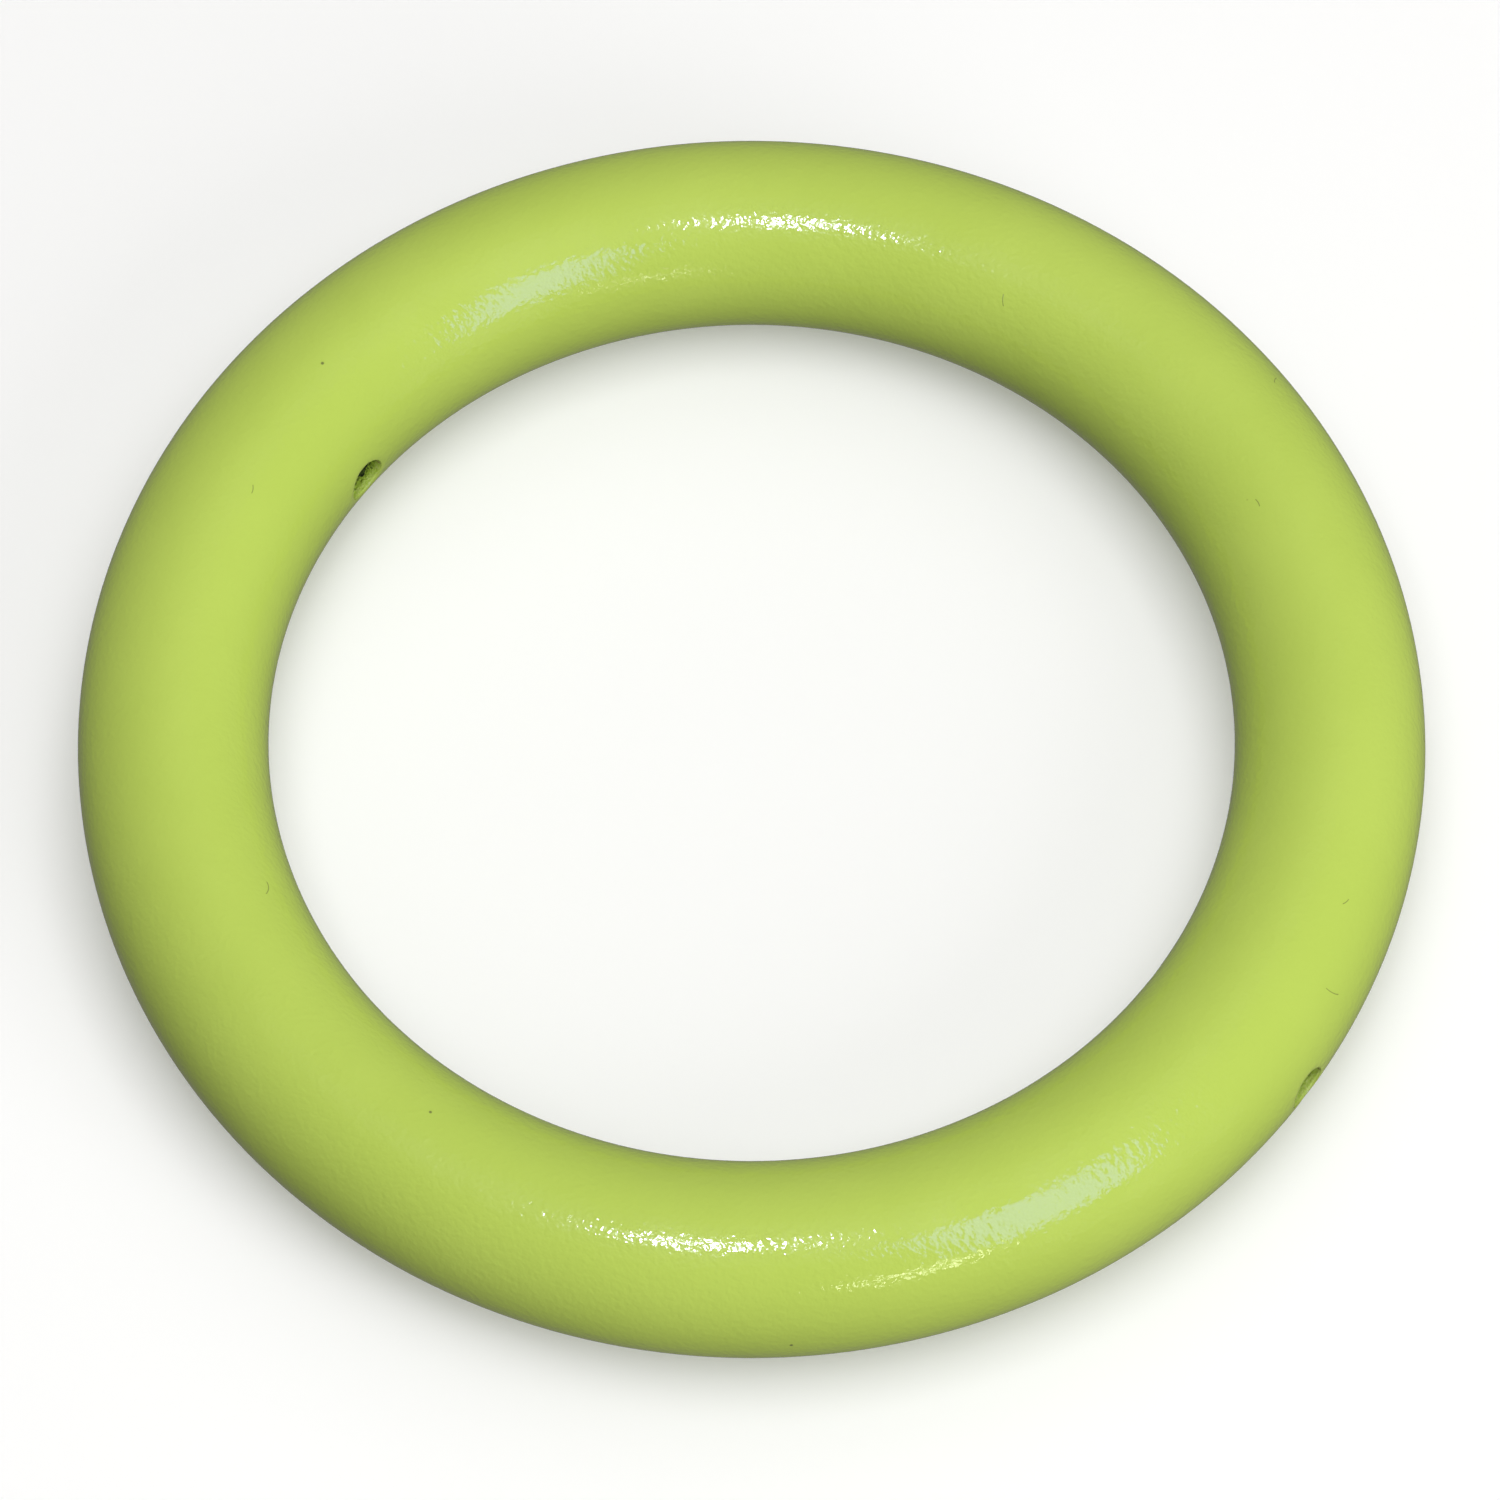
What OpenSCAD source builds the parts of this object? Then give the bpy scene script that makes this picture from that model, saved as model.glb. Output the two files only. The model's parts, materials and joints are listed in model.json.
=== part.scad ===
// Flying ring for lawn games, in millimetres.
// A round cord of cellular rubber is bent into a ring and joined end to end.
// Two half skins of dense rubber enclose it and meet at the mid-plane of the ring.
// One straight hole runs along a diameter: right through one side, then part way into the other.
// Z is the axis of the ring, X runs along the hole towards the side that it passes through,
// and the origin is the centre of the ring.

/* [Ring] */
// Outside diameter of the ring
ring_outer_d = 178; // [150:1:230]
// Diameter of the round section that the hand grips
section_d = 25.2; // [22:0.1:32]

/* [Skin] */
// Thickness of the dense skin
skin_t = 1.2; // [0.8:0.1:2]
// Thickness of the cement between the rims of the half skins
seam_cement_t = 0.2; // [0.1:0.05:0.5]

/* [Core] */
// Thickness of the cement between the ends of the cord, on the cord's centre line
splice_cement_t = 0.3; // [0.1:0.05:0.6]
// Direction of the joint in the cord, in degrees round from the X axis
splice_angle = 90; // [30:1:150]

/* [Rod hole] */
// Diameter of the hole
hole_d = 6.2; // [4:0.1:8]
// Depth of the blind end, from the inner face of the ring
blind_depth = 14; // [4:0.5:18]

/* [Hidden] */
$fn = 96;

section_r = section_d / 2;
core_r = section_r - skin_t;
// Radius of the circle that the centre of the section follows
mean_r = (ring_outer_d - section_d) / 2;
// Part of the circle that the cement between the cord's ends takes up, in degrees
splice_arc = splice_cement_t / mean_r * 180 / PI;
// Extra length of a cutting solid past the face that it cuts
cut_past = 1;

lime = [0.73, 0.82, 0.38];
cement_tan = [0.72, 0.62, 0.38];
cellular_brown = [0.2, 0.17, 0.12];

// Disc of the given radius, at the section's place beside the axis
module section_disc(r) {
  translate([mean_r, 0])
    rotate(90)
      circle(r = r);
}

// Section of the skin between two heights above the mid-plane
module skin_section(low, high) {
  intersection() {
    difference() {
      section_disc(section_r);
      section_disc(core_r);
    }
    translate([mean_r - section_r - cut_past, low])
      square([section_d + 2 * cut_past, high - low]);
  }
}

// Turns a section all the way round, starting clear of the hole
module full_ring() {
  rotate([0, 0, splice_angle])
    rotate_extrude()
      children();
}

// Turns a section through part of the circle
module part_ring(from, arc) {
  rotate([0, 0, from])
    rotate_extrude(angle = arc)
      children();
}

// The straight hole, from its blind end out past the side that it passes through
module rod_hole() {
  blind_end = -(mean_r - section_r + blind_depth);
  translate([blind_end, 0, 0])
    rotate([0, 90, 0])
      cylinder(d = hole_d, h = ring_outer_d / 2 + cut_past - blind_end);
}

module drilled() {
  difference() {
    children();
    rod_hole();
  }
}

// Half skin that lies above the mid-plane
module half_skin() {
  drilled()
    full_ring()
      skin_section(seam_cement_t / 2, section_r + cut_past);
}

// Cement between the rims, from one radius about the ring's axis to another
module seam_cement(from_r, to_r) {
  drilled()
    full_ring()
      intersection() {
        skin_section(-seam_cement_t / 2, seam_cement_t / 2);
        translate([from_r, -seam_cement_t])
          square([to_r - from_r, 2 * seam_cement_t]);
      }
}

module upper_skin() {
  color(lime)
    half_skin();
}

module lower_skin() {
  color(lime)
    mirror([0, 0, 1])
      half_skin();
}

module outer_seam_cement() {
  color(cement_tan)
    seam_cement(mean_r, mean_r + section_r + cut_past);
}

module inner_seam_cement() {
  color(cement_tan)
    seam_cement(mean_r - section_r - cut_past, mean_r);
}

module core_cord() {
  color(cellular_brown)
    drilled()
      part_ring(splice_angle + splice_arc / 2, 360 - splice_arc)
        section_disc(core_r);
}

module core_splice() {
  color(cement_tan)
    part_ring(splice_angle - splice_arc / 2, splice_arc)
      section_disc(core_r);
}

upper_skin();
lower_skin();
outer_seam_cement();
inner_seam_cement();
core_cord();
core_splice();
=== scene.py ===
import json
import math
import bpy
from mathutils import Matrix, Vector


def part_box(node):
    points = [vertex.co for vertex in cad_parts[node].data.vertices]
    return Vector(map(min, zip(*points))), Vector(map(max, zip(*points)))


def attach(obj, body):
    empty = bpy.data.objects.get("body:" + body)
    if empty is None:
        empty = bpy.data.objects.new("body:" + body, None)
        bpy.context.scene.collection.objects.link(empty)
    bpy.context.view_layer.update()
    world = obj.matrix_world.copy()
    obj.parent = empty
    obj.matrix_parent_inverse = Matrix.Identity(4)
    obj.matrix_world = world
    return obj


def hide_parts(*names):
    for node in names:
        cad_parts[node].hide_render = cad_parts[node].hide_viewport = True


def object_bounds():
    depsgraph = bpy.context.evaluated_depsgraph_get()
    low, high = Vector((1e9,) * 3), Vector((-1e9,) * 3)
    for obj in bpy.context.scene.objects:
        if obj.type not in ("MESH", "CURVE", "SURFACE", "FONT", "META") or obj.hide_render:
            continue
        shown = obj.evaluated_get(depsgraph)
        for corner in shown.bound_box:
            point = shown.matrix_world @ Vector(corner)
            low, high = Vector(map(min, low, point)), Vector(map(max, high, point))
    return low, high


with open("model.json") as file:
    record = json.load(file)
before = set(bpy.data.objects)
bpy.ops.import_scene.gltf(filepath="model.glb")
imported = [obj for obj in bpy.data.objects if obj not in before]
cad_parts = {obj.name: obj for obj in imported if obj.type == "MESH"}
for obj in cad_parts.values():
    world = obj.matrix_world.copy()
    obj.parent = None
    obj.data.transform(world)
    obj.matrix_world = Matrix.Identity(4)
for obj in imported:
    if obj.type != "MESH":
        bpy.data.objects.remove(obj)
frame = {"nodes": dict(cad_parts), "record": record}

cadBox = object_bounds()
print("frame loaded")

# the ring's own sizes, worked out from the frame
boxLow, boxHigh = cadBox
tubeRadius = (boxHigh.z - boxLow.z) / 2
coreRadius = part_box("core_cord")[1].z
skinDepth = tubeRadius - coreRadius
meanRadius = (boxHigh.x - boxLow.x) / 2 - tubeRadius
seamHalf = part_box("outer_seam_cement")[1].z
holeMounts = {m["name"]: m for m in frame["record"]["mounts"]}
holeRadius = holeMounts["through_rod_hole"]["dims"]["r_mm"] / 1000
blindMount = holeMounts["blind_rod_hole"]
blindEnd = blindMount["pos_m"][0] - blindMount["dims"]["length_mm"] / 2000
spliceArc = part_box("core_splice")[1].x * 2 / (meanRadius - coreRadius)

view = dict(
    azimuth=36.05,
    elevation=62.5,
    distance=1.0243,
    lens=186.0,
    sensor=36.0,
    nearest=0.01,
    aim=(0.0017, -0.0027, 0.0),
)


def pointAround(turn, elevation, distance):
    # turn is measured from the camera's own azimuth, positive to its right
    a = math.radians(view["azimuth"] + turn)
    e = math.radians(elevation)
    return Vector((math.sin(a) * math.cos(e), -math.cos(a) * math.cos(e), math.sin(e))) * distance


def makeCamera():
    data = bpy.data.cameras.new("camera")
    camera = bpy.data.objects.new("camera", data)
    bpy.context.collection.objects.link(camera)
    data.lens = view["lens"]
    data.sensor_width = view["sensor"]
    data.clip_start = view["nearest"]
    camera.location = pointAround(0, view["elevation"], view["distance"])
    toAim = Vector(view["aim"]) - camera.location
    camera.rotation_euler = toAim.to_track_quat("-Z", "Y").to_euler()
    bpy.context.scene.camera = camera


floorLook = dict(
    reach=3.0,
    colour=(0.76, 0.77, 0.78),
    roughness=0.7,
    glowColour=(1.0, 1.0, 1.0),
    glow=0.24,
)


def makeFloor():
    mesh = bpy.data.meshes.new("floor")
    r = floorLook["reach"]
    z = boxLow.z
    mesh.from_pydata([(-r, -r, z), (r, -r, z), (r, r, z), (-r, r, z)], [], [(0, 1, 2, 3)])
    floor = bpy.data.objects.new("floor", mesh)
    bpy.context.collection.objects.link(floor)
    material = bpy.data.materials.new("paleFloor")
    material.use_nodes = True
    surface = material.node_tree.nodes["Principled BSDF"]
    surface.inputs["Base Color"].default_value = (*floorLook["colour"], 1)
    surface.inputs["Roughness"].default_value = floorLook["roughness"]
    surface.inputs["Emission Color"].default_value = (*floorLook["glowColour"], 1)
    surface.inputs["Emission Strength"].default_value = floorLook["glow"]
    material.cycles.emission_sampling = "NONE"
    mesh.materials.append(material)
    # the floor's glow keeps it pale far away; it neither lights the ring nor shows in its lacquer
    floor.visible_glossy = False
    floor.visible_diffuse = False


# a mirrored lamp shows only as a highlight in the lacquer; the others only light the ring evenly
studioLights = {
    "cameraFlash": dict(turn=-14.0, elevation=77.1, distance=1.077, size=(0.040, 0.026), power=3.8,
                        colour=(0.76, 0.76, 1.0), mirrored=True),
    "windowPanel": dict(turn=42.2, elevation=44.9, distance=0.61, size=(0.20, 0.36), power=1.25,
                        colour=(0.22, 0.22, 1.0), mirrored=True),
    "lowLamp": dict(turn=19.4, elevation=19.8, distance=0.23, size=(0.06, 0.007), power=0.02,
                    colour=(1.0, 0.97, 0.78), mirrored=True),
    "softTop": dict(turn=20.0, elevation=82.0, distance=1.6, size=(1.4, 1.4), power=18.9,
                    colour=(1.0, 0.99, 0.97), mirrored=False),
    "softFront": dict(turn=46.0, elevation=22.0, distance=1.6, size=(1.0, 1.0), power=9.5,
                      colour=(1.0, 0.98, 0.96), mirrored=False),
    "softLow": dict(turn=50.0, elevation=8.0, distance=1.6, size=(1.0, 0.4), power=3.3,
                    colour=(1.0, 0.98, 0.96), mirrored=False),
    "softBack": dict(turn=175.0, elevation=50.0, distance=1.6, size=(1.0, 1.0), power=3.0,
                     colour=(1.0, 0.98, 0.96), mirrored=False),
}
roomLight = dict(colour=(1.0, 0.96, 0.9), strength=0.2)


def makeLights():
    for name, light in studioLights.items():
        data = bpy.data.lights.new(name, "AREA")
        data.shape = "RECTANGLE"
        data.size, data.size_y = light["size"]
        data.energy = light["power"]
        data.color = light["colour"]
        lamp = bpy.data.objects.new(name, data)
        bpy.context.collection.objects.link(lamp)
        lamp.location = pointAround(light["turn"], light["elevation"], light["distance"])
        lamp.rotation_euler = (-lamp.location).to_track_quat("-Z", "Y").to_euler()
        lamp.visible_camera = False
        lamp.visible_glossy = light["mirrored"]
        lamp.visible_diffuse = not light["mirrored"]
    world = bpy.data.worlds.new("room")
    bpy.context.scene.world = world
    world.use_nodes = True
    background = world.node_tree.nodes["Background"]
    background.inputs["Color"].default_value = (*roomLight["colour"], 1)
    background.inputs["Strength"].default_value = roomLight["strength"]
    bpy.context.scene.view_settings.view_transform = "Standard"


makeCamera()
makeFloor()
makeLights()
print("camera, floor and lights made")


# detail and roughness of each kind of noise
noiseKinds = dict(
    ripple=(1.0, 0.4),
    pebble=(1.5, 0.45),
    cloud=(3.0, 0.55),
    smear=(3.0, 0.6),
    torn=(3.0, 0.6),
    crumb=(3.0, 0.7),
    streak=(4.0, 0.6),
    creep=(4.0, 0.65),
)


class Tree:
    # short calls for building a node tree
    def __init__(self, tree):
        self.tree = tree

    def add(self, kind, values=None, **settings):
        node = self.tree.nodes.new(kind)
        for key, value in settings.items():
            setattr(node, key, value)
        for key, value in (values or {}).items():
            self.feed(node.inputs[key], value)
        return node

    def feed(self, socket, value):
        if isinstance(value, bpy.types.NodeSocket):
            self.tree.links.new(value, socket)
        else:
            socket.default_value = value

    def math(self, operation, a, b=0.0, clamp=False):
        return self.add("ShaderNodeMath", {0: a, 1: b}, operation=operation, use_clamp=clamp).outputs[0]

    def plus(self, a, b):
        return self.math("ADD", a, b)

    def minus(self, a, b):
        return self.math("SUBTRACT", a, b)

    def times(self, a, b):
        return self.math("MULTIPLY", a, b)

    def over(self, a, b):
        return self.math("DIVIDE", a, b)

    def hypot(self, a, b):
        return self.math("SQRT", self.plus(self.times(a, a), self.times(b, b)))

    def choose(self, test, whenFalse, whenTrue):
        # a plain number picked by a mask of 0 or 1
        return self.plus(whenFalse, self.times(test, self.minus(whenTrue, whenFalse)))

    def vector(self, x=0.0, y=0.0, z=0.0):
        return self.add("ShaderNodeCombineXYZ", {0: x, 1: y, 2: z}).outputs[0]

    def separate(self, vector):
        return self.add("ShaderNodeSeparateXYZ", {0: vector}).outputs

    def remap(self, value, fromLow, fromHigh, toLow=0.0, toHigh=1.0):
        node = self.add("ShaderNodeMapRange", interpolation_type="SMOOTHSTEP")
        for key, given in zip(("Value", "From Min", "From Max", "To Min", "To Max"),
                              (value, fromLow, fromHigh, toLow, toHigh)):
            self.feed(node.inputs[key], given)
        return node.outputs[0]

    def noise(self, where, scale, kind, seed=None):
        detail, roughness = noiseKinds[kind]
        node = self.add("ShaderNodeTexNoise", {"Scale": scale, "Detail": detail, "Roughness": roughness})
        self.feed(node.inputs["Vector"], where)
        if seed is not None:
            node.noise_dimensions = "4D"
            self.feed(node.inputs["W"], seed)
        return node.outputs[0]

    def mixColour(self, amount, a, b):
        node = self.add("ShaderNodeMix", data_type="RGBA")
        colours = [s for s in node.inputs if s.type == "RGBA"]
        self.feed(node.inputs[0], amount)
        for socket, value in zip(colours, (a, b)):
            self.feed(socket, value if isinstance(value, bpy.types.NodeSocket) else (*value, 1))
        return [s for s in node.outputs if s.type == "RGBA"][0]


def newGroup(kind, name, inputs, outputs):
    tree = bpy.data.node_groups.new(name, kind)
    for direction, sockets in (("INPUT", inputs), ("OUTPUT", outputs)):
        for label, socketKind, default in sockets:
            socket = tree.interface.new_socket(label, in_out=direction, socket_type=socketKind)
            if default is not None:
                socket.default_value = default
    t = Tree(tree)
    return t, t.add("NodeGroupInput").outputs, t.add("NodeGroupOutput").inputs


def distanceBelowSurface(t, where, ringMean, ringTube):
    # how deep a point lies under the ring's round outer surface, in metres
    parts = t.separate(where)
    sideways = t.minus(t.hypot(parts[0], parts[1]), ringMean)
    return t.minus(ringTube, t.hypot(sideways, parts[2]))


def makeDepthGroup():
    t, given, out = newGroup("ShaderNodeTree", "depthInRing",
                             [("Position", "NodeSocketVector", None),
                              ("Mean Radius", "NodeSocketFloat", meanRadius),
                              ("Tube Radius", "NodeSocketFloat", tubeRadius)],
                             [("Depth", "NodeSocketFloat", None)])
    depth = distanceBelowSurface(t, given["Position"], given["Mean Radius"], given["Tube Radius"])
    t.feed(out["Depth"], depth)
    return t.tree


def makePebbleGroup():
    # fine orange-peel of a sprayed lacquer, with a slower ripple under it
    t, given, out = newGroup("ShaderNodeTree", "lacquerPebble",
                             [("Position", "NodeSocketVector", None),
                              ("Pebbles Per Metre", "NodeSocketFloat", 1000.0),
                              ("Slow Ratio", "NodeSocketFloat", 0.3),
                              ("Slow Share", "NodeSocketFloat", 0.5)],
                             [("Height", "NodeSocketFloat", None)])
    fine = t.noise(given["Position"], given["Pebbles Per Metre"], "pebble")
    slowScale = t.times(given["Pebbles Per Metre"], given["Slow Ratio"])
    slow = t.noise(given["Position"], slowScale, "ripple")
    t.feed(out["Height"], t.plus(fine, t.times(slow, given["Slow Share"])))
    return t.tree


def makeDustGroup():
    # dust specks and short bent fibres caught in the lacquer, a few on the whole ring
    t, given, out = newGroup("ShaderNodeTree", "trappedDust",
                             [("Position", "NodeSocketVector", None),
                              ("Cells Per Metre", "NodeSocketFloat", 90.0),
                              ("Share With Dust", "NodeSocketFloat", 0.3),
                              ("Speck Radius", "NodeSocketFloat", 0.0003),
                              ("Speck Core", "NodeSocketFloat", 0.4),
                              ("Fibre Length", "NodeSocketFloat", 0.0026),
                              ("Fibre Width", "NodeSocketFloat", 0.00009),
                              ("Fibre Taper", "NodeSocketFloat", 3.0),
                              ("Fibre Bend", "NodeSocketFloat", 260.0)],
                             [("Specks", "NodeSocketFloat", None),
                              ("Fibres", "NodeSocketFloat", None)])
    cells = t.add("ShaderNodeTexVoronoi", {"Vector": given["Position"], "Scale": given["Cells Per Metre"]})
    local = t.add("ShaderNodeVectorMath",
                  {0: given["Position"], 1: cells.outputs["Position"]}, operation="SUBTRACT").outputs[0]
    pick = t.add("ShaderNodeSeparateColor", {0: cells.outputs["Color"]}).outputs
    away = t.add("ShaderNodeVectorMath", {0: local}, operation="LENGTH").outputs["Value"]
    hasSpeck = t.math("LESS_THAN", pick[0], given["Share With Dust"])
    speck = t.remap(away, given["Speck Radius"], t.times(given["Speck Radius"], given["Speck Core"]))
    t.feed(out["Specks"], t.times(speck, hasSpeck))
    turned = t.add("ShaderNodeVectorRotate", {"Vector": local}, rotation_type="Z_AXIS")
    t.feed(turned.inputs["Angle"], t.times(pick[1], math.tau))
    along = t.separate(turned.outputs[0])
    bend = t.times(t.times(along[0], along[0]), given["Fibre Bend"])
    offLine = t.math("ABSOLUTE", t.minus(along[1], bend))
    line = t.remap(offLine, given["Fibre Width"], t.over(given["Fibre Width"], given["Fibre Taper"]))
    inReach = t.math("LESS_THAN", away, t.over(given["Fibre Length"], 2.0))
    hasFibre = t.math("GREATER_THAN", pick[2], t.minus(1.0, given["Share With Dust"]))
    t.feed(out["Fibres"], t.times(t.times(line, inReach), hasFibre))
    return t.tree


depthGroup = makeDepthGroup()
pebbleGroup = makePebbleGroup()
dustGroup = makeDustGroup()


def startMaterial(name):
    material = bpy.data.materials.new(name)
    material.use_nodes = True
    t = Tree(material.node_tree)
    surface = material.node_tree.nodes["Principled BSDF"]
    where = t.add("ShaderNodeTexCoord").outputs["Object"]
    return material, t, surface, where


def placeGroup(t, group, where, values):
    node = t.add("ShaderNodeGroup")
    node.node_tree = group
    t.feed(node.inputs["Position"], where)
    for label, value in values.items():
        t.feed(node.inputs[label], value)
    return node.outputs


def depthAt(t, where):
    return placeGroup(t, depthGroup, where, {"Mean Radius": meanRadius, "Tube Radius": tubeRadius})["Depth"]


def addBump(t, surface, height, distance):
    bump = t.add("ShaderNodeBump", {"Strength": 1.0, "Distance": distance})
    t.feed(bump.inputs["Height"], height)
    t.feed(surface.inputs["Normal"], bump.outputs[0])


lacquerLook = dict(
    colour=(0.500, 0.656, 0.116),
    shade=(0.480, 0.636, 0.107),
    cloudsPerMetre=38.0,
    cloudRange=(0.32, 0.68),
    roughness=0.12,
    roughnessSpread=(0.85, 1.35),
    smearsPerMetre=120.0,
    smearRange=(0.3, 0.75),
    pebbleHeight=0.000075,
)
lacquerPebble = {
    "Pebbles Per Metre": 1300.0,
    "Slow Ratio": 0.28,
    "Slow Share": 0.5,
}
dustLook = dict(colour=(0.10, 0.11, 0.04), strength=0.8, fibreStrength=0.7, bumpShare=0.35)
dustSizes = {
    "Cells Per Metre": 90.0,
    "Share With Dust": 0.3,
    "Speck Radius": 0.0003,
    "Speck Core": 0.4,
    "Fibre Length": 0.0026,
    "Fibre Width": 0.00009,
    "Fibre Taper": 3.0,
    "Fibre Bend": 260.0,
}
# the bare rubber of the skin, where the lacquer ends inside a hole, coloured brighter than the coat as
# painted light for the shaded hole; its raised crumbs are lighter still, grain with a painted highlight on
# it
cutLook = dict(
    colour=(0.52, 0.76, 0.07),
    crumbGrainAndGlint=(0.68, 0.84, 0.22),
    starts=0.00015,
    full=0.00045,
    crumbsPerMetre=2600.0,
    crumbRange=(0.35, 0.7),
    crumbHeight=3.0,
    addedRoughness=0.35,
)


def lacquerColour(t, where):
    # slightly uneven coat, specks and fibres
    cloud = t.remap(t.noise(where, lacquerLook["cloudsPerMetre"], "cloud"), *lacquerLook["cloudRange"])
    coat = t.mixColour(cloud, lacquerLook["colour"], lacquerLook["shade"])
    dust = placeGroup(t, dustGroup, where, dustSizes)
    marks = t.math("MAXIMUM", dust["Specks"], t.times(dust["Fibres"], dustLook["fibreStrength"]))
    return t.mixColour(t.times(marks, dustLook["strength"]), coat, dustLook["colour"]), marks


def makeLacquer():
    material, t, surface, where = startMaterial("limeLacquer")
    colour, marks = lacquerColour(t, where)
    inHole = t.remap(depthAt(t, where), cutLook["starts"], cutLook["full"])
    crumb = t.noise(where, cutLook["crumbsPerMetre"], "crumb")
    # painted light: the hole's rubber is brightened past the coat, and the raised crumbs are lighter as a
    # painted highlight
    cut = t.mixColour(t.remap(crumb, *cutLook["crumbRange"]), cutLook["colour"], cutLook["crumbGrainAndGlint"])
    t.feed(surface.inputs["Base Color"], t.mixColour(inHole, colour, cut))
    smooth, dull = (lacquerLook["roughness"] * share for share in lacquerLook["roughnessSpread"])
    smear = t.remap(t.noise(where, lacquerLook["smearsPerMetre"], "smear"),
                    *lacquerLook["smearRange"], smooth, dull)
    t.feed(surface.inputs["Roughness"], t.plus(smear, t.times(inHole, cutLook["addedRoughness"])))
    pebble = placeGroup(t, pebbleGroup, where, lacquerPebble)["Height"]
    coatHeight = t.plus(pebble, t.times(marks, dustLook["bumpShare"]))
    cutHeight = t.times(t.times(crumb, inHole), cutLook["crumbHeight"])
    addBump(t, surface, t.plus(coatHeight, cutHeight), lacquerLook["pebbleHeight"])
    return material


coreLook = dict(
    wall=(0.095, 0.150, 0.020),
    # the darker colour of the cells is painted shade in their pits
    pitShade=(0.045, 0.070, 0.010),
    cellsPerMetre=2200.0,
    pitRange=(0.25, 0.65),
    cellDepth=0.0002,
    roughness=0.9,
    creep=(0.42, 0.62, 0.06),
    creepReach=0.0012,
    creepBias=0.0004,
    creepEdge=(0.00008, -0.00004),
    creepsPerMetre=900.0,
    creepRoughness=0.5,
)


def makeCellularCore():
    # open cells, their pits darkened with painted shade, with lime rubber crept a little way over them past
    # the skin
    material, t, surface, where = startMaterial("cellularCore")
    cells = t.add("ShaderNodeTexVoronoi", {"Vector": where, "Scale": coreLook["cellsPerMetre"]})
    pit = t.remap(cells.outputs["Distance"], *coreLook["pitRange"])
    # painted shade: each cell is coloured darker towards its pit
    foamWithPitShade = t.mixColour(pit, coreLook["pitShade"], coreLook["wall"])
    ragged = t.times(t.noise(where, coreLook["creepsPerMetre"], "creep"), coreLook["creepReach"] * 2)
    pastSkin = t.minus(depthAt(t, where), skinDepth)
    pastCreep = t.minus(pastSkin, t.minus(ragged, coreLook["creepBias"]))
    creep = t.remap(pastCreep, *coreLook["creepEdge"])
    t.feed(surface.inputs["Base Color"], t.mixColour(creep, foamWithPitShade, coreLook["creep"]))
    rough = t.remap(creep, 0.0, 1.0, coreLook["roughness"], coreLook["creepRoughness"])
    t.feed(surface.inputs["Roughness"], rough)
    addBump(t, surface, pit, coreLook["cellDepth"])
    return material


cementLook = dict(
    colour=(0.48, 0.34, 0.12),
    dark=(0.30, 0.20, 0.07),
    streaksPerMetre=700.0,
    streakRange=(0.3, 0.7),
    roughness=0.6,
    streakRoughness=0.8,
    streakHeight=0.00012,
)


def makeCement(name, lacquered):
    material, t, surface, where = startMaterial(name)
    streak = t.remap(t.noise(where, cementLook["streaksPerMetre"], "streak"), *cementLook["streakRange"])
    glue = t.mixColour(streak, cementLook["colour"], cementLook["dark"])
    rough = t.remap(streak, 0.0, 1.0, cementLook["roughness"], cementLook["streakRoughness"])
    height, distance = streak, cementLook["streakHeight"]
    if lacquered:
        # the lacquer runs over the edge of the cement, so only its buried part looks like glue
        colour = lacquerColour(t, where)[0]
        buried = t.remap(depthAt(t, where), cutLook["starts"], cutLook["full"])
        glue = t.mixColour(buried, colour, glue)
        rough = t.remap(buried, 0.0, 1.0, lacquerLook["roughness"], cementLook["roughness"])
        height = placeGroup(t, pebbleGroup, where, lacquerPebble)["Height"]
        distance = lacquerLook["pebbleHeight"]
    t.feed(surface.inputs["Base Color"], glue)
    t.feed(surface.inputs["Roughness"], rough)
    addBump(t, surface, height, distance)
    return material


limeLacquer = makeLacquer()
cellularCore = makeCellularCore()
seamCement = makeCement("lacqueredCement", True)
spliceCement = makeCement("spliceCement", False)
print("materials made")


# the drilled line, shared by every piece that it passes through
rodRule = dict(
    segments=120,
    stepLength=0.00022,
    overrun=0.002,
    wallFrom=0.9,
    leastAway=0.0001,
    skinRamp=(0.0001, 0.0005),
    foamRamp=1.3,
)
drillSizes = {
    "Mean Radius": meanRadius,
    "Outer Radius": tubeRadius,
    "Inner Radius": coreRadius,
    "Hole Radius": holeRadius,
    "Hole From X": blindEnd,
    "Hole To X": boxHigh.x + rodRule["overrun"],
    "Skin Rough": 0.00006,
    "Foam Rough": 0.00022,
    "Grain Per Metre": 1500.0,
    "Seed": 7,
}
# every piece is turned with the same steps, so that neighbours share their edges
ringSizes = {
    **drillSizes,
    "Rows": 60,
    "Steps Around": 400,
    "Start Angle": math.pi / 2,
    "Turn": math.tau,
    "Turn Crowding": 0.8,
    "Sharp Angle": math.radians(32),
    "Join Within": 0.000001,
}
# the skins and the seams are walls between two arcs of the section
wallSizes = {
    **ringSizes,
    "Section Crowding": 0.7,
    "Outer From": 0.0,
    "Outer To": math.tau,
    "Inner From": 0.0,
    "Inner To": math.tau,
    "Ripple Depth": 0.00004,
    "Ripples Per Metre": 45.0,
    "Lip Width": 0.00045,
    "Lip Drop": 0.00014,
}


def socketsFor(sizes):
    kinds = {int: "NodeSocketInt", float: "NodeSocketFloat"}
    return [(label, kinds[type(value)], value) for label, value in sizes.items()]


def crowded(t, along, crowding):
    # 0 to 1, with its steps drawn in towards both ends
    wave = t.math("SINE", t.times(along, math.tau))
    return t.minus(along, t.times(wave, t.over(crowding, math.tau)))


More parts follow.
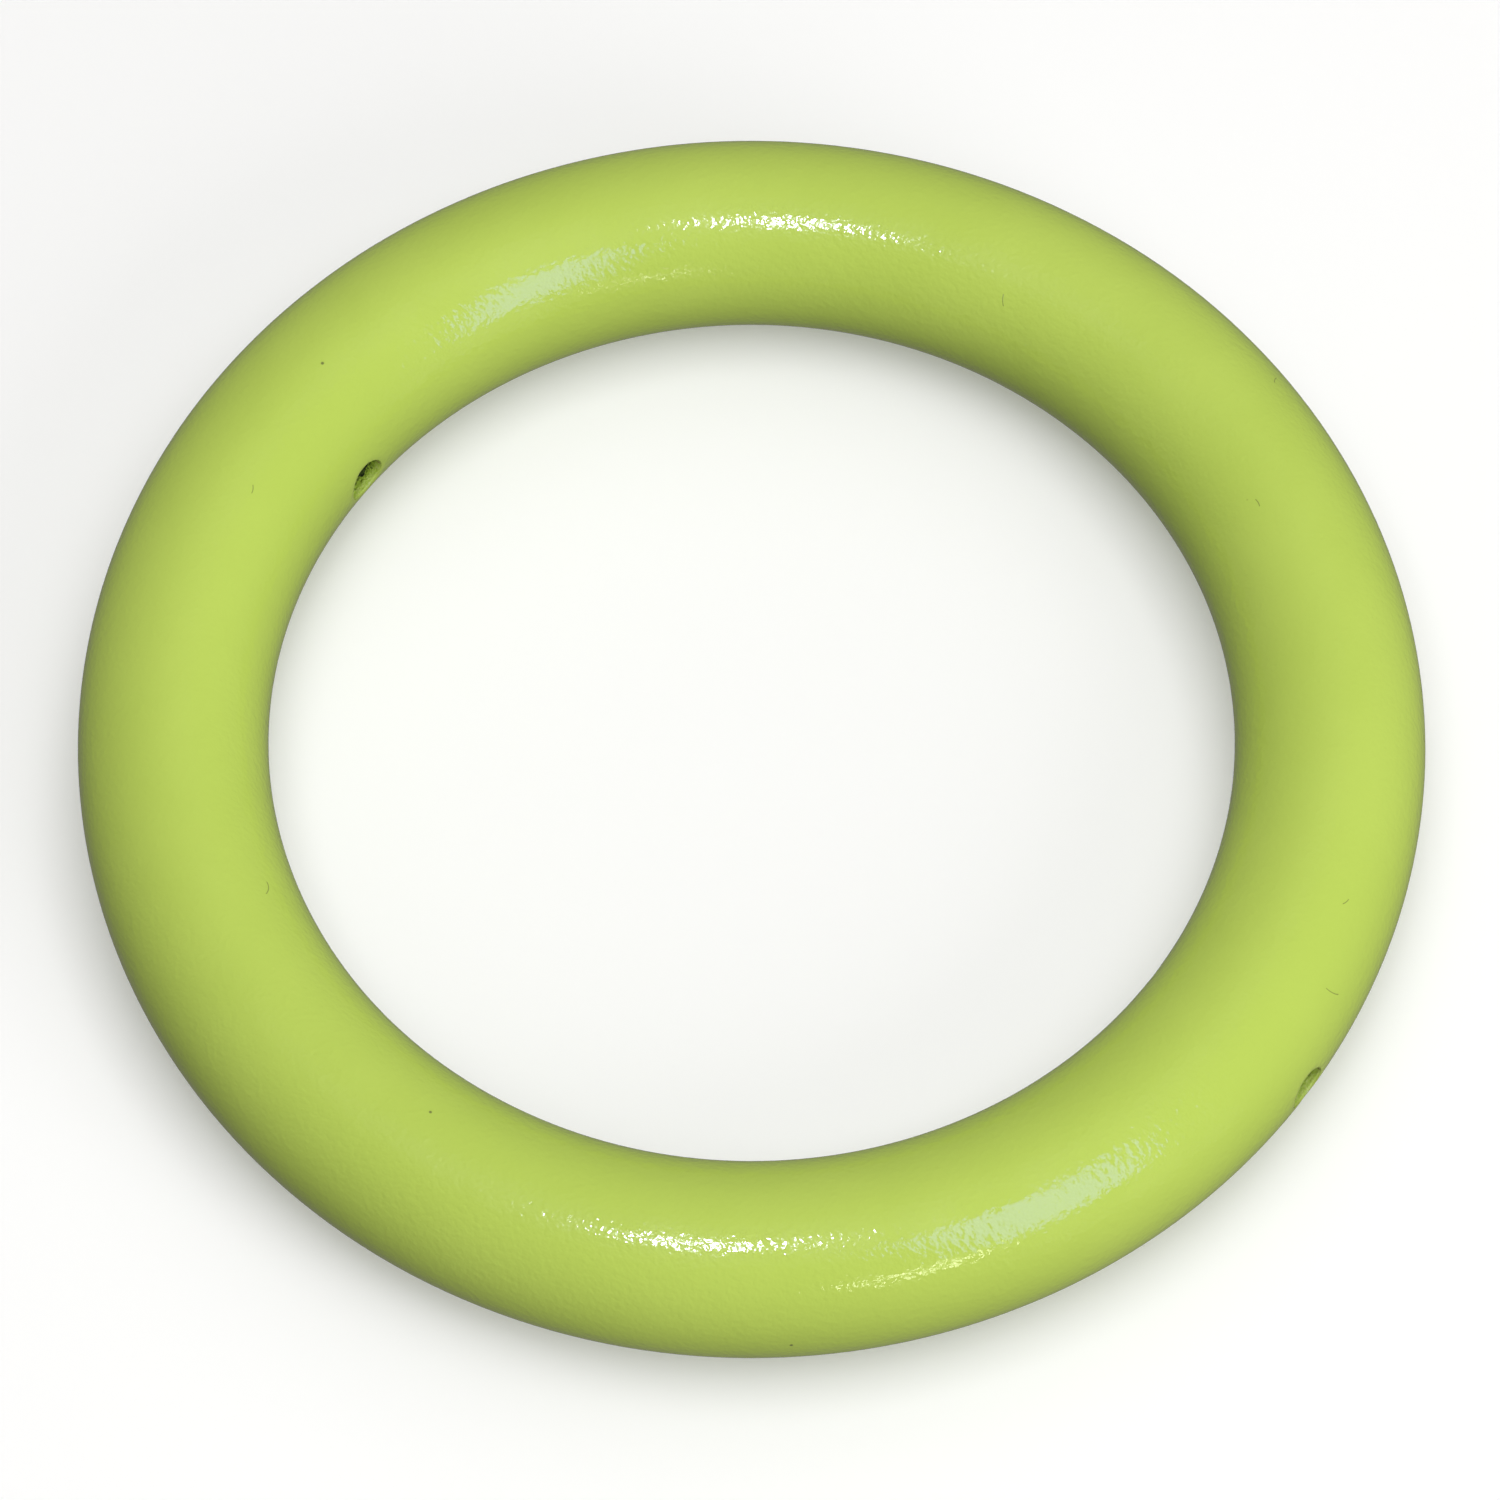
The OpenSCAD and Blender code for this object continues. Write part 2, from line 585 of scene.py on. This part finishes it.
def onRing(t, given, sectionR, across, around):
    # a point of the ring; the steps around are closest at the two ends of the drilled diameter
    wave = t.math("SINE", t.times(around, 2.0))
    turn = t.minus(around, t.times(wave, t.over(given["Turn Crowding"], 2.0)))
    out = t.plus(given["Mean Radius"], t.times(sectionR, t.math("COSINE", across)))
    return t.vector(t.times(out, t.math("COSINE", turn)),
                    t.times(out, t.math("SINE", turn)),
                    t.times(sectionR, t.math("SINE", across)))


def makeRodCutter():
    # the drilled line as a solid, rough where it passes through rubber
    t, given, out = newGroup("GeometryNodeTree", "drilledLine", socketsFor(drillSizes),
                             [("Geometry", "NodeSocketGeometry", None)])
    length = t.minus(given["Hole To X"], given["Hole From X"])
    rod = t.add("GeometryNodeMeshCylinder",
                {"Vertices": rodRule["segments"], "Radius": given["Hole Radius"], "Depth": length})
    t.feed(rod.inputs["Side Segments"], t.over(length, rodRule["stepLength"]))
    middle = t.over(t.plus(given["Hole From X"], given["Hole To X"]), 2.0)
    laid = t.add("GeometryNodeTransform", {"Geometry": rod.outputs["Mesh"]})
    laid.inputs["Rotation"].default_value = (0, math.pi / 2, 0)
    t.feed(laid.inputs["Translation"], t.vector(middle))
    where = t.add("GeometryNodeInputPosition").outputs[0]
    depth = distanceBelowSurface(t, where, given["Mean Radius"], given["Outer Radius"])
    wall = t.minus(given["Outer Radius"], given["Inner Radius"])
    inSkin = t.times(t.remap(depth, *rodRule["skinRamp"]), given["Skin Rough"])
    inFoam = t.times(t.remap(depth, wall, t.times(wall, rodRule["foamRamp"])), given["Foam Rough"])
    grain = t.minus(t.noise(where, given["Grain Per Metre"], "torn", given["Seed"]), 0.5)
    push = t.times(t.times(grain, 2.0), t.math("MAXIMUM", inSkin, inFoam))
    parts = t.separate(where)
    away = t.hypot(parts[1], parts[2])
    isWall = t.math("GREATER_THAN", away, t.times(given["Hole Radius"], rodRule["wallFrom"]))
    outward = t.over(push, t.math("MAXIMUM", away, rodRule["leastAway"]))
    moved = t.add("GeometryNodeSetPosition", {"Geometry": laid.outputs[0], "Selection": isWall})
    t.feed(moved.inputs["Offset"], t.vector(0.0, t.times(parts[1], outward), t.times(parts[2], outward)))
    t.feed(out["Geometry"], moved.outputs[0])
    return t.tree


rodCutter = makeRodCutter()


def startPieceTree(name, sizes):
    sockets = socketsFor(sizes) + [("Material", "NodeSocketMaterial", None)]
    return newGroup("GeometryNodeTree", name, sockets, [("Geometry", "NodeSocketGeometry", None)])


def finishPieceTree(t, given, out, shape):
    # close, drill, smooth the round faces and keep the cut edges sharp
    closed = t.add("GeometryNodeMergeByDistance", {"Geometry": shape, "Distance": given["Join Within"]})
    rod = t.add("GeometryNodeGroup")
    rod.node_tree = rodCutter
    for label in drillSizes:
        t.feed(rod.inputs[label], given[label])
    drilled = t.add("GeometryNodeMeshBoolean", operation="DIFFERENCE", solver="MANIFOLD")
    t.feed(drilled.inputs["Mesh 1"], closed.outputs[0])
    t.feed(drilled.inputs["Mesh 2"], rod.outputs[0])
    smooth = t.add("GeometryNodeSetShadeSmooth", {"Geometry": drilled.outputs["Mesh"], "Shade Smooth": True},
                   domain="FACE")
    sharp = t.add("GeometryNodeSetShadeSmooth", {"Geometry": smooth.outputs[0], "Shade Smooth": False},
                  domain="EDGE")
    angle = t.add("GeometryNodeInputMeshEdgeAngle").outputs["Unsigned Angle"]
    t.feed(sharp.inputs["Selection"], t.math("GREATER_THAN", angle, given["Sharp Angle"]))
    solid = t.add("GeometryNodeRealizeInstances", {"Geometry": sharp.outputs[0]})
    painted = t.add("GeometryNodeSetMaterial", {"Geometry": solid.outputs[0], "Material": given["Material"]})
    t.feed(out["Geometry"], painted.outputs[0])
    return t.tree


def makeWallTree():
    # a strip of wall: out along the outer arc, back along the inner one, turned all the way round
    t, given, out = startPieceTree("turnedWall", wallSizes)
    rows = given["Rows"]
    loop = t.times(rows, 2.0)
    grid = t.add("GeometryNodeMeshGrid", {"Size X": 1.0, "Size Y": 1.0})
    t.feed(grid.inputs["Vertices X"], t.plus(given["Steps Around"], 1.0))
    t.feed(grid.inputs["Vertices Y"], t.plus(loop, 1.0))
    flat = t.separate(t.add("GeometryNodeInputPosition").outputs[0])
    around = t.plus(given["Start Angle"], t.times(t.plus(flat[0], 0.5), given["Turn"]))
    row = t.math("ROUND", t.times(t.plus(flat[1], 0.5), loop))
    row = t.math("FLOORED_MODULO", row, loop)
    inside = t.math("GREATER_THAN", row, t.minus(rows, 0.5))
    last = t.minus(rows, 1.0)
    goingOut = t.over(row, last)
    goingBack = t.over(t.minus(t.minus(loop, 1.0), row), last)
    along = crowded(t, t.choose(inside, goingOut, goingBack), given["Section Crowding"])
    start = t.choose(inside, given["Outer From"], given["Inner From"])
    end = t.choose(inside, given["Outer To"], given["Inner To"])
    radius = t.choose(inside, given["Outer Radius"], given["Inner Radius"])
    turned = t.add("GeometryNodeSetPosition", {"Geometry": grid.outputs["Mesh"]})
    t.feed(turned.inputs["Position"], onRing(t, given, radius, t.choose(along, start, end), around))

    # the outer face sinks a little in slow ripples, and rolls into each hole
    where = t.add("GeometryNodeInputPosition").outputs[0]
    parts = t.separate(where)
    depth = distanceBelowSurface(t, where, given["Mean Radius"], given["Outer Radius"])
    halfWall = t.over(t.minus(given["Outer Radius"], given["Inner Radius"]), 2.0)
    outside = t.math("LESS_THAN", depth, halfWall)
    wave = t.noise(where, given["Ripples Per Metre"], "ripple", given["Seed"])
    ripple = t.times(wave, given["Ripple Depth"])
    gap = t.over(t.minus(t.hypot(parts[1], parts[2]), given["Hole Radius"]), given["Lip Width"])
    near = t.math("SUBTRACT", 1.0, gap, clamp=True)
    drilledSide = t.math("GREATER_THAN", parts[0], t.times(given["Mean Radius"], -1.0))
    lip = t.times(t.times(near, near), t.times(given["Lip Drop"], drilledSide))
    shrink = t.over(t.times(t.plus(ripple, lip), outside), given["Outer Radius"])
    toCentre = t.minus(t.over(given["Mean Radius"], t.hypot(parts[0], parts[1])), 1.0)
    inward = t.times(toCentre, shrink)
    sunk = t.add("GeometryNodeSetPosition", {"Geometry": turned.outputs[0]})
    t.feed(sunk.inputs["Offset"], t.vector(t.times(parts[0], inward),
                                           t.times(parts[1], inward),
                                           t.times(parts[2], t.times(shrink, -1.0))))
    return finishPieceTree(t, given, out, sunk.outputs[0])


def makeCordTree():
    # a round cord bent into a ring, its two flat ends closed to their own middle
    t, given, out = startPieceTree("bentCord", ringSizes)
    steps = given["Steps Around"]
    grid = t.add("GeometryNodeMeshGrid", {"Size X": 1.0, "Size Y": 1.0})
    t.feed(grid.inputs["Vertices X"], t.plus(steps, 3.0))
    t.feed(grid.inputs["Vertices Y"], t.plus(given["Rows"], 1.0))
    flat = t.separate(t.add("GeometryNodeInputPosition").outputs[0])
    column = t.math("ROUND", t.times(t.plus(flat[0], 0.5), t.plus(steps, 2.0)))
    share = t.math("DIVIDE", t.minus(column, 1.0), steps, clamp=True)
    around = t.plus(given["Start Angle"], t.times(share, given["Turn"]))
    isRim = t.times(t.math("GREATER_THAN", column, 0.5),
                    t.math("LESS_THAN", column, t.plus(steps, 1.5)))
    across = t.times(t.plus(flat[1], 0.5), math.tau)
    bent = t.add("GeometryNodeSetPosition", {"Geometry": grid.outputs["Mesh"]})
    t.feed(bent.inputs["Position"], onRing(t, given, t.times(given["Inner Radius"], isRim), across, around))
    return finishPieceTree(t, given, out, bent.outputs[0])


wallTree = makeWallTree()
cordTree = makeCordTree()


def signedVolume(mesh):
    mesh.calc_loop_triangles()
    spots = [v.co for v in mesh.vertices]
    return sum(spots[a].dot(spots[b].cross(spots[c])) for a, b, c in
               (tri.vertices for tri in mesh.loop_triangles)) / 6


def growPiece(name, tree, shape, node, material):
    start = bpy.data.objects.new(name + "Rule", bpy.data.meshes.new(name + "Start"))
    bpy.context.collection.objects.link(start)
    modifier = start.modifiers.new("rule", "NODES")
    modifier.node_group = tree
    values = {**wallSizes, **shape, "Material": material}
    for item in tree.interface.items_tree:
        if item.item_type == "SOCKET" and item.in_out == "INPUT":
            modifier[item.identifier] = values[item.name]
    shapes = bpy.context.evaluated_depsgraph_get()
    mesh = bpy.data.meshes.new_from_object(start.evaluated_get(shapes))
    start.modifiers.remove(modifier)
    bpy.data.objects.remove(start)
    mesh.name = name
    if signedVolume(mesh) < 0:
        mesh.flip_normals()
    piece = bpy.data.objects.new(name, mesh)
    bpy.context.collection.objects.link(piece)
    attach(piece, "root")
    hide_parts(node)
    mesh.calc_loop_triangles()
    print(name, len(mesh.loop_triangles), "triangles, volume in mm3", round(signedVolume(mesh) * 1e9, 1))


# the rims of the skins stand this far from the mid-plane, as angles round the section
outerRim = math.asin(seamHalf / tubeRadius)
innerRim = math.asin(seamHalf / coreRadius)

upperSkinShape = {
    "Rows": 66,
    "Outer From": outerRim,
    "Outer To": math.pi - outerRim,
    "Inner From": innerRim,
    "Inner To": math.pi - innerRim,
}
growPiece("upperSkin", wallTree, upperSkinShape, "upper_skin", limeLacquer)

lowerSkinShape = {
    "Rows": 66,
    "Outer From": math.pi + outerRim,
    "Outer To": math.tau - outerRim,
    "Inner From": math.pi + innerRim,
    "Inner To": math.tau - innerRim,
}
growPiece("lowerSkin", wallTree, lowerSkinShape, "lower_skin", limeLacquer)
print("skins turned")

outerSeamShape = {
    "Rows": 3,
    "Outer From": -outerRim,
    "Outer To": outerRim,
    "Inner From": -innerRim,
    "Inner To": innerRim,
}
growPiece("outerSeamCement", wallTree, outerSeamShape, "outer_seam_cement", seamCement)

innerSeamShape = {
    "Rows": 3,
    "Outer From": math.pi - outerRim,
    "Outer To": math.pi + outerRim,
    "Inner From": math.pi - innerRim,
    "Inner To": math.pi + innerRim,
}
growPiece("innerSeamCement", wallTree, innerSeamShape, "inner_seam_cement", seamCement)
print("seams turned")

# the cord's ends stop either side of the splice
spliceHalf = spliceArc / 2 / (1 + ringSizes["Turn Crowding"])
coreCordShape = {
    "Rows": 96,
    "Start Angle": math.pi / 2 + spliceHalf,
    "Turn": math.tau - 2 * spliceHalf,
}
growPiece("coreCord", cordTree, coreCordShape, "core_cord", cellularCore)
for slot in frame["nodes"]["core_splice"].material_slots:
    slot.material = spliceCement
print("core made")
